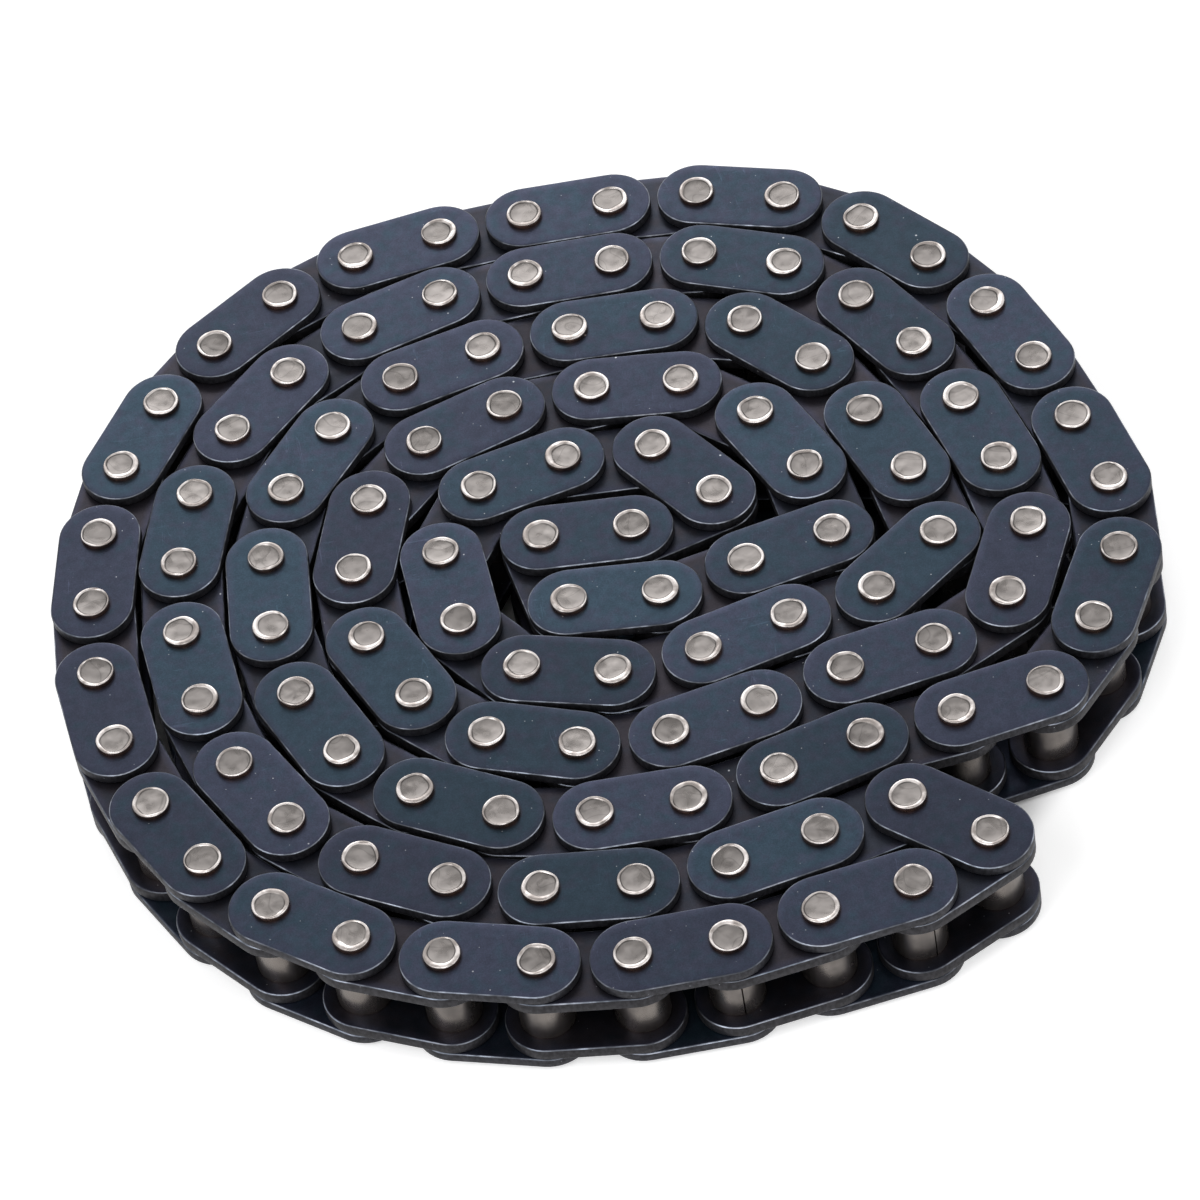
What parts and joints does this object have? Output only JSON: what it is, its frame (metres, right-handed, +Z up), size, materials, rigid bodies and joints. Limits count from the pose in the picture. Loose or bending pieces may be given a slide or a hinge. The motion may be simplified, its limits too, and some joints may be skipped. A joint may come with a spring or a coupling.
{
  "type": "drive chain",
  "caption": "Endless rollerless bush chain with straight-sided oblong link plates and riveted pins, laid on its side in a doubled coil.",
  "frame": {"origin": "middle of the bounding box at its base, which is the plane of the lower pin ends that the coil rests on", "axes": "+Z up, along the pins; +X and +Y in the plane of the coil, with the picture taken from the -Y side, so that +X is to its right"},
  "size_m": [0.0944, 0.0904, 0.0107],
  "materials": {
    "outer_plate_steel": "dark blued, satin",
    "inner_plate_steel": "dark blued, satin",
    "pin_steel": "ground ends, satin",
    "bush_steel": "gun-metal, satin"
  },
  "bodies": {
    "coil": {"coil_outer_plates_upper": "outer_plate_steel", "coil_outer_plates_lower": "outer_plate_steel", "coil_inner_plates_upper": "inner_plate_steel", "coil_inner_plates_lower": "inner_plate_steel", "coil_pins": "pin_steel", "coil_bushes": "bush_steel", "open_pivot_pins": "pin_steel"},
    "link_01": {"link_01_upper_plate": "inner_plate_steel", "link_01_lower_plate": "inner_plate_steel", "link_01_bushes": "bush_steel"},
    "link_02": {"link_02_upper_plate": "outer_plate_steel", "link_02_lower_plate": "outer_plate_steel", "link_02_pins": "pin_steel"},
    "link_03": {"link_03_upper_plate": "inner_plate_steel", "link_03_lower_plate": "inner_plate_steel", "link_03_bushes": "bush_steel"},
    "link_04": {"link_04_upper_plate": "outer_plate_steel", "link_04_lower_plate": "outer_plate_steel", "link_04_pins": "pin_steel"},
    "link_05": {"link_05_upper_plate": "inner_plate_steel", "link_05_lower_plate": "inner_plate_steel", "link_05_bushes": "bush_steel"},
    "link_06": {"link_06_upper_plate": "outer_plate_steel", "link_06_lower_plate": "outer_plate_steel", "link_06_pins": "pin_steel"},
    "link_07": {"link_07_upper_plate": "inner_plate_steel", "link_07_lower_plate": "inner_plate_steel", "link_07_bushes": "bush_steel"},
    "link_08": {"link_08_upper_plate": "outer_plate_steel", "link_08_lower_plate": "outer_plate_steel", "link_08_pins": "pin_steel"},
    "link_09": {"link_09_upper_plate": "inner_plate_steel", "link_09_lower_plate": "inner_plate_steel", "link_09_bushes": "bush_steel"},
    "link_10": {"link_10_upper_plate": "outer_plate_steel", "link_10_lower_plate": "outer_plate_steel", "link_10_pins": "pin_steel"},
    "link_11": {"link_11_upper_plate": "inner_plate_steel", "link_11_lower_plate": "inner_plate_steel", "link_11_bushes": "bush_steel"},
    "link_12": {"link_12_upper_plate": "outer_plate_steel", "link_12_lower_plate": "outer_plate_steel", "link_12_pins": "pin_steel"},
    "link_13": {"link_13_upper_plate": "inner_plate_steel", "link_13_lower_plate": "inner_plate_steel", "link_13_bushes": "bush_steel"},
    "link_14": {"link_14_upper_plate": "outer_plate_steel", "link_14_lower_plate": "outer_plate_steel", "link_14_pins": "pin_steel"},
    "link_15": {"link_15_upper_plate": "inner_plate_steel", "link_15_lower_plate": "inner_plate_steel", "link_15_bushes": "bush_steel"},
    "link_16": {"link_16_upper_plate": "outer_plate_steel", "link_16_lower_plate": "outer_plate_steel", "link_16_pins": "pin_steel"},
    "link_17": {"link_17_upper_plate": "inner_plate_steel", "link_17_lower_plate": "inner_plate_steel", "link_17_bushes": "bush_steel"}
  },
  "joints": [
    {"name": "pivot_02", "type": "hinge", "parent": "link_02", "child": "link_01", "pos_m": [0.01992, -0.03961, 0.00533], "axis": [0, 0, -1], "range_deg": [0, 56]},
    {"name": "pivot_03", "type": "hinge", "parent": "link_03", "child": "link_02", "pos_m": [0.01221, -0.0406, 0.00533], "axis": [0, 0, -1], "range_deg": [0, 34]},
    {"name": "pivot_04", "type": "hinge", "parent": "link_04", "child": "link_03", "pos_m": [0.00451, -0.04166, 0.00533], "axis": [0, 0, -1], "range_deg": [0, 41]},
    {"name": "pivot_05", "type": "hinge", "parent": "link_05", "child": "link_04", "pos_m": [-0.00326, -0.04159, 0.00533], "axis": [0, 0, -1], "range_deg": [0, 40]},
    {"name": "pivot_06", "type": "hinge", "parent": "link_06", "child": "link_05", "pos_m": [-0.01095, -0.04043, 0.00533], "axis": [0, 0, -1], "range_deg": [0, 39]},
    {"name": "pivot_07", "type": "hinge", "parent": "link_07", "child": "link_06", "pos_m": [-0.01837, -0.0381, 0.00533], "axis": [0, 0, -1], "range_deg": [0, 37]},
    {"name": "pivot_08", "type": "hinge", "parent": "link_08", "child": "link_07", "pos_m": [-0.02536, -0.03469, 0.00533], "axis": [0, 0, -1], "range_deg": [0, 39]},
    {"name": "pivot_09", "type": "hinge", "parent": "link_09", "child": "link_08", "pos_m": [-0.03151, -0.02994, 0.00533], "axis": [0, 0, -1], "range_deg": [0, 38]},
    {"name": "pivot_10", "type": "hinge", "parent": "link_10", "child": "link_09", "pos_m": [-0.03654, -0.02402, 0.00533], "axis": [0, 0, -1], "range_deg": [0, 36]},
    {"name": "pivot_11", "type": "hinge", "parent": "link_11", "child": "link_10", "pos_m": [-0.04023, -0.01717, 0.00533], "axis": [0, 0, -1], "range_deg": [0, 33]},
    {"name": "pivot_12", "type": "hinge", "parent": "link_12", "child": "link_11", "pos_m": [-0.04263, -0.00978, 0.00533], "axis": [0, 0, -1], "range_deg": [0, 32]},
    {"name": "pivot_13", "type": "hinge", "parent": "link_13", "child": "link_12", "pos_m": [-0.04359, -0.00207, 0.00533], "axis": [0, 0, -1], "range_deg": [0, 29]},
    {"name": "pivot_14", "type": "hinge", "parent": "link_14", "child": "link_13", "pos_m": [-0.04331, 0.0057, 0.00533], "axis": [0, 0, -1], "range_deg": [0, 26]},
    {"name": "pivot_15", "type": "hinge", "parent": "link_15", "child": "link_14", "pos_m": [-0.04199, 0.01336, 0.00533], "axis": [0, 0, -1], "range_deg": [0, 26]},
    {"name": "pivot_16", "type": "hinge", "parent": "link_16", "child": "link_15", "pos_m": [-0.03938, 0.02069, 0.00533], "axis": [0, 0, -1], "range_deg": [0, 28]},
    {"name": "pivot_17", "type": "hinge", "parent": "link_17", "child": "link_16", "pos_m": [-0.03524, 0.02727, 0.00533], "axis": [0, 0, -1], "range_deg": [0, 25]},
    {"name": "pivot_18", "type": "hinge", "parent": "coil", "child": "link_17", "pos_m": [-0.0299, 0.03292, 0.00533], "axis": [0, 0, -1], "range_deg": [0, 23]}
  ]
}
